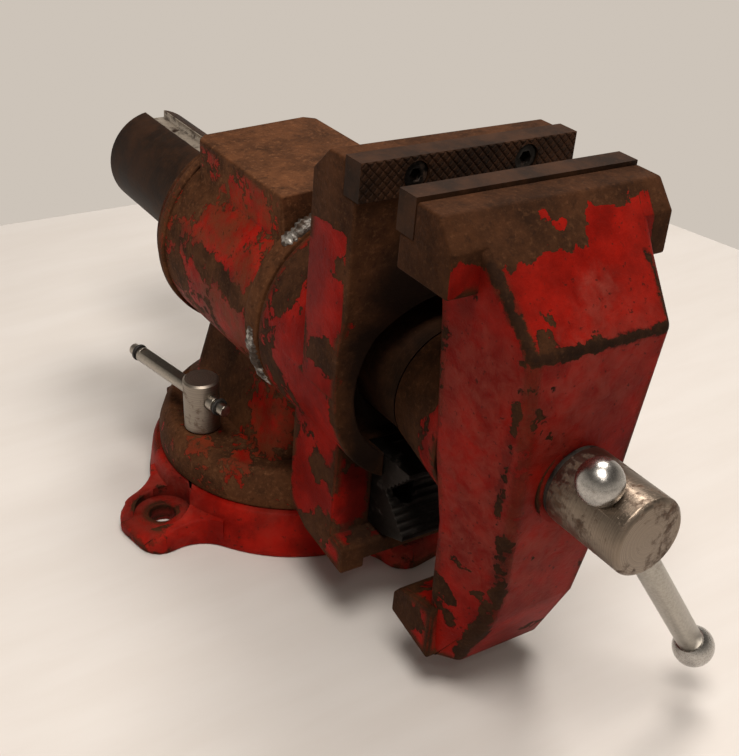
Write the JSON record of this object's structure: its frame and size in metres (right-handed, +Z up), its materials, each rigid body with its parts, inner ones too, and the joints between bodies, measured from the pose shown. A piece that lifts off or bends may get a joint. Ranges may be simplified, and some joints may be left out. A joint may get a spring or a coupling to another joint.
{
  "type": "bench vise",
  "caption": "Swivel base bench vise with a turning head: flat jaws above a round slide bar, toothed pipe jaws below it, an anvil on the collar and a sliding tommy bar on the spindle.",
  "frame": {"origin": "on the swivel axis at bench level, the centre of the bench bolt circle", "axes": "+Z up, +Y to the rear along the slide bar, -Y towards the handle, +X to the right seen from the handle"},
  "size_m": [0.2518, 0.5016, 0.2741],
  "materials": {
    "red_iron": "worn red paint over cast iron",
    "bare_iron": "bare, brown with age",
    "jaw_steel": "dark hardened steel",
    "plain_steel": "plain machined steel",
    "bright_steel": "turned steel with rust stains",
    "dark_screws": "black oxide",
    "chrome_ball": "polished",
    "bronze": "cast bronze",
    "black_rubber": "black rings"
  },
  "bodies": {
    "base": {"base_plate": "red_iron", "pivot_pin": "plain_steel"},
    "swivel": {"swivel_body": "red_iron", "clamp_bolts": "plain_steel"},
    "lock_nut_l": {"lock_nut_left": "bright_steel"},
    "lock_nut_r": {"lock_nut_right": "bright_steel"},
    "lock_bar_l": {"lock_bar_left": "bright_steel", "lock_bar_rings_left": "black_rubber"},
    "lock_bar_r": {"lock_bar_right": "bright_steel", "lock_bar_rings_right": "black_rubber"},
    "head": {"fixed_jaw": "red_iron", "fixed_jaw_plate": "jaw_steel", "fixed_plate_screws": "dark_screws", "fixed_pipe_jaw": "jaw_steel", "fixed_pipe_screws": "dark_screws", "retaining_ring": "bare_iron", "ring_screws": "dark_screws", "guide_key": "plain_steel", "key_screws": "dark_screws", "spindle_nut": "bronze", "spindle_nut_bolt": "dark_screws"},
    "front": {"front_jaw": "red_iron", "slide_bar": "bare_iron", "slide_bar_pin": "plain_steel", "front_jaw_plate": "jaw_steel", "front_plate_screws": "dark_screws", "front_pipe_jaw": "jaw_steel", "front_pipe_screws": "dark_screws"},
    "spindle": {"spindle": "bright_steel", "thrust_washer": "plain_steel", "keeper_collar": "plain_steel", "keeper_pin": "plain_steel"},
    "handle": {"handle_bar": "bright_steel", "handle_balls": "chrome_ball"}
  },
  "joints": [
    {"name": "swivel_turn", "type": "hinge", "parent": "base", "child": "swivel", "pos_m": [0, 0, 0.03], "axis": [0, 0, 1], "continuous": true},
    {"name": "lock_nut_turn_left", "type": "hinge", "parent": "swivel", "child": "lock_nut_l", "pos_m": [-0.066, 0, 0.07], "axis": [0, 0, 1], "range_deg": [-20, 10]},
    {"name": "lock_nut_turn_right", "type": "hinge", "parent": "swivel", "child": "lock_nut_r", "pos_m": [0.066, 0, 0.07], "axis": [0, 0, 1], "range_deg": [-20, 10]},
    {"name": "lock_bar_slide_left", "type": "slide", "parent": "lock_nut_l", "child": "lock_bar_l", "axis": [0.1736, -0.9848, 0], "range_m": [-0.005, 0.03]},
    {"name": "lock_bar_slide_right", "type": "slide", "parent": "lock_nut_r", "child": "lock_bar_r", "axis": [-0.1736, 0.9848, 0], "range_m": [-0.005, 0.03]},
    {"name": "head_turn", "type": "hinge", "parent": "swivel", "child": "head", "pos_m": [0, 0, 0.146], "axis": [0, 1, 0], "continuous": true},
    {"name": "jaw_slide", "type": "slide", "parent": "head", "child": "front", "axis": [0, 1, 0], "range_m": [-0.0965, 0.0286]},
    {"name": "spindle_turn", "type": "hinge", "parent": "front", "child": "spindle", "pos_m": [0, -0.25, 0.146], "axis": [0, 1, 0], "range_deg": [-6912, 2052]},
    {"name": "handle_slide", "type": "slide", "parent": "spindle", "child": "handle", "axis": [-0.5417, 0, 0.8406], "range_m": [0, 0.1055]}
  ],
  "couplings": [
    {"joint": "jaw_slide", "follows": "spindle_turn", "m_per_rad": 0.00079577}
  ]
}
